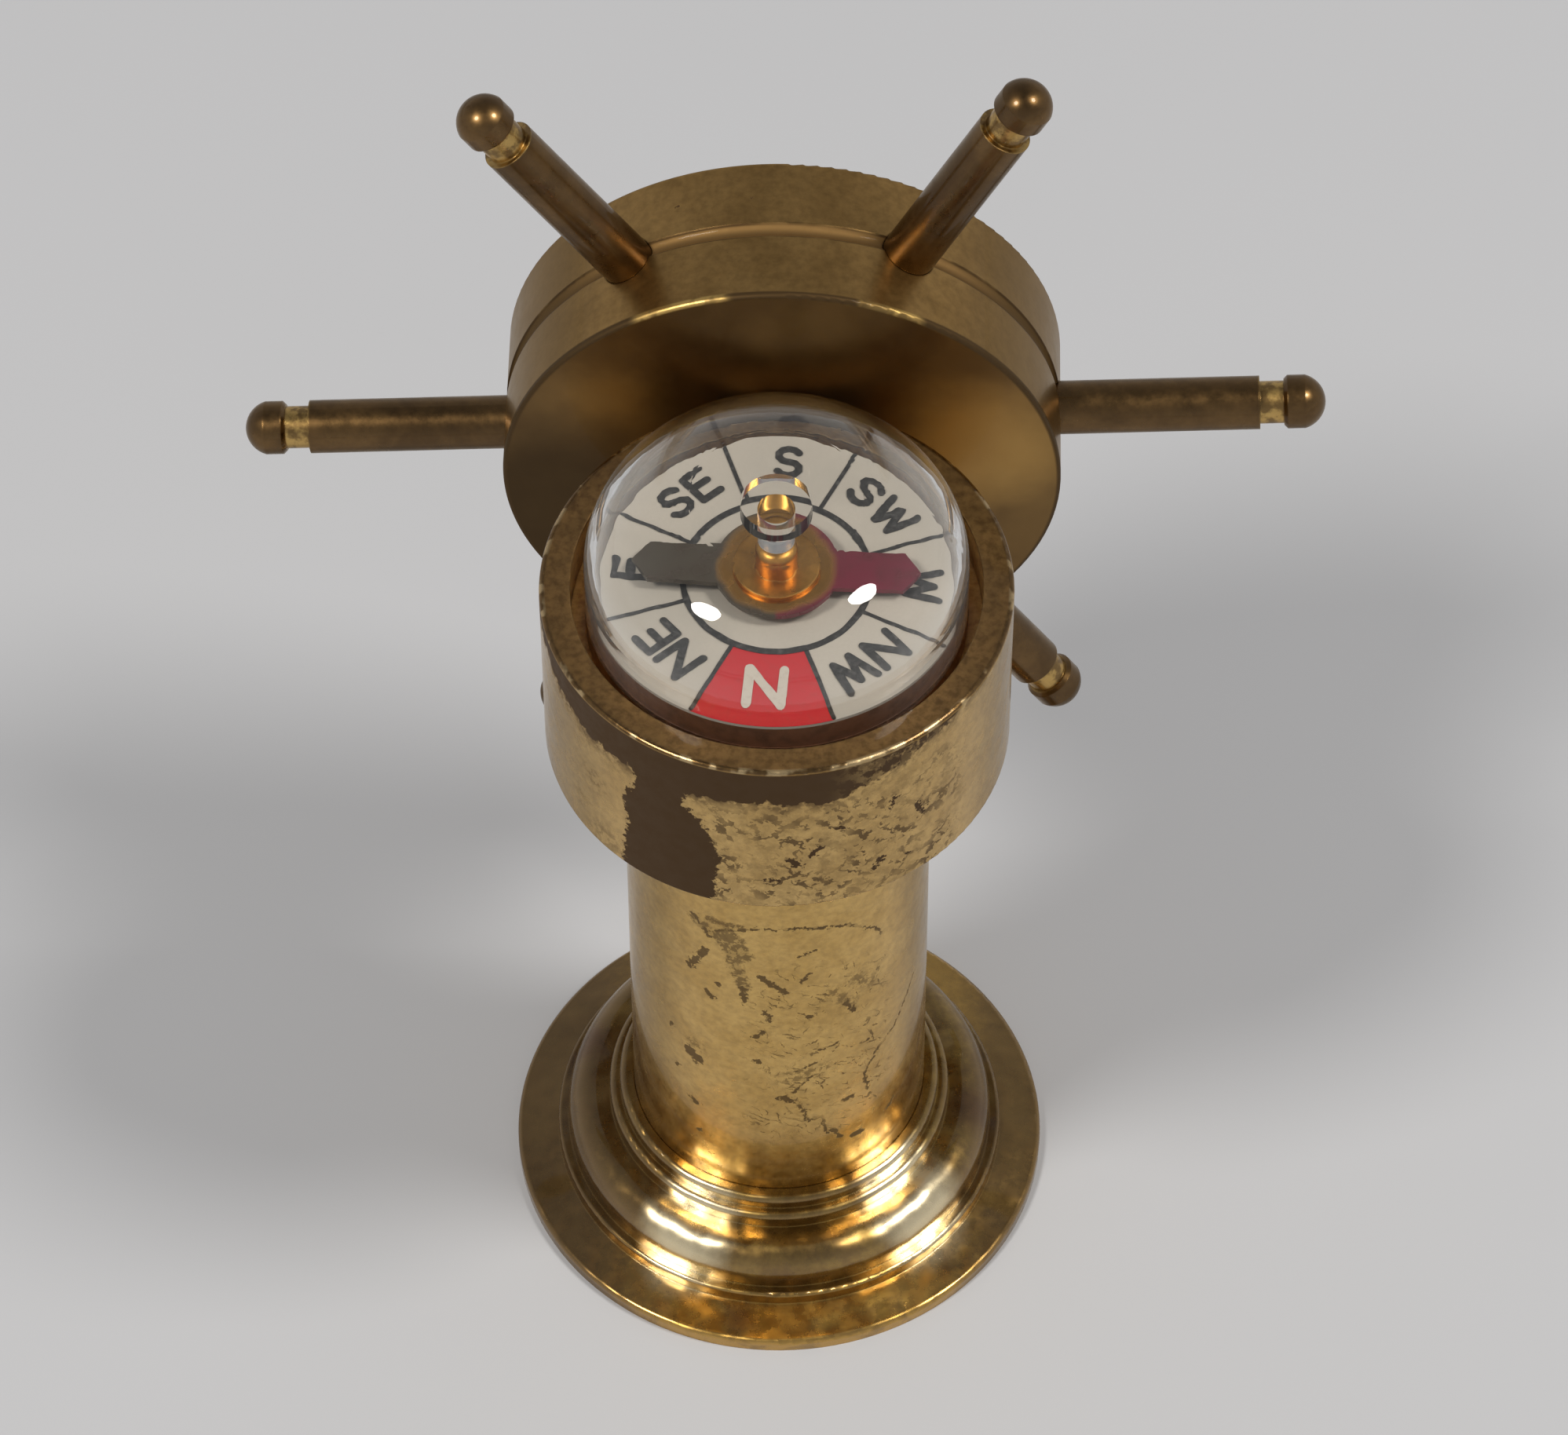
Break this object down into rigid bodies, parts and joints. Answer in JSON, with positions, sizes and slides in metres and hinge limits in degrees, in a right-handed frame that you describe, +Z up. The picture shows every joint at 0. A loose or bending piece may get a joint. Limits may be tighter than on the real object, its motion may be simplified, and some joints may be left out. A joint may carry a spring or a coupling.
{
  "type": "magnetic compass",
  "caption": "Desk compass on a turned brass pedestal: a domed capsule with a pivoted needle sits in a cup, and a small ship's wheel turns on an axle behind it.",
  "frame": {"origin": "centre of the foot's flat underside, on the axis of the column", "axes": "+Z up along the column; +Y from the column towards the wheel, so the compass is read from the -Y side; +X to the reader's right"},
  "size_m": [0.0584, 0.037, 0.07],
  "materials": {
    "foot_brass": "tarnished, lacquered, glossy",
    "column_brass": "lacquered, lightly scratched",
    "cup_brass": "lacquered, worn to dark brown in patches",
    "wheel_brass": "tarnished, turned face",
    "spoke_brass": "tarnished, turned",
    "washer_brass": "dull",
    "cap_brass": "polished",
    "screw_steel": "plain machined",
    "pin_steel": "polished",
    "needle_paint": "one arm red and the other black, satin",
    "dial_paper": "printed, matt",
    "capsule_plastic": "dark, smooth",
    "dome_clear": "clear, polished"
  },
  "bodies": {
    "stand": {"foot": "foot_brass", "foot_screw": "screw_steel", "column": "column_brass", "cup": "cup_brass", "cup_screw": "screw_steel", "capsule_base": "capsule_plastic", "dial_card": "dial_paper", "pivot_pin": "pin_steel", "dome": "dome_clear", "front_washer": "washer_brass", "axle_screw": "screw_steel", "back_washer": "washer_brass"},
    "wheel": {"wheel_drum": "wheel_brass", "spoke_1": "spoke_brass", "spoke_2": "spoke_brass", "spoke_3": "spoke_brass", "spoke_4": "spoke_brass", "spoke_5": "spoke_brass", "spoke_6": "spoke_brass"},
    "needle": {"needle": "needle_paint", "needle_cap": "cap_brass"}
  },
  "joints": [
    {"name": "wheel_spin", "type": "hinge", "parent": "stand", "child": "wheel", "pos_m": [0, 0.0168, 0.04365], "axis": [0, 1, 0], "continuous": true},
    {"name": "needle_swing", "type": "hinge", "parent": "stand", "child": "needle", "pos_m": [0, 0, 0.0518], "axis": [0, 0, 1], "continuous": true}
  ]
}
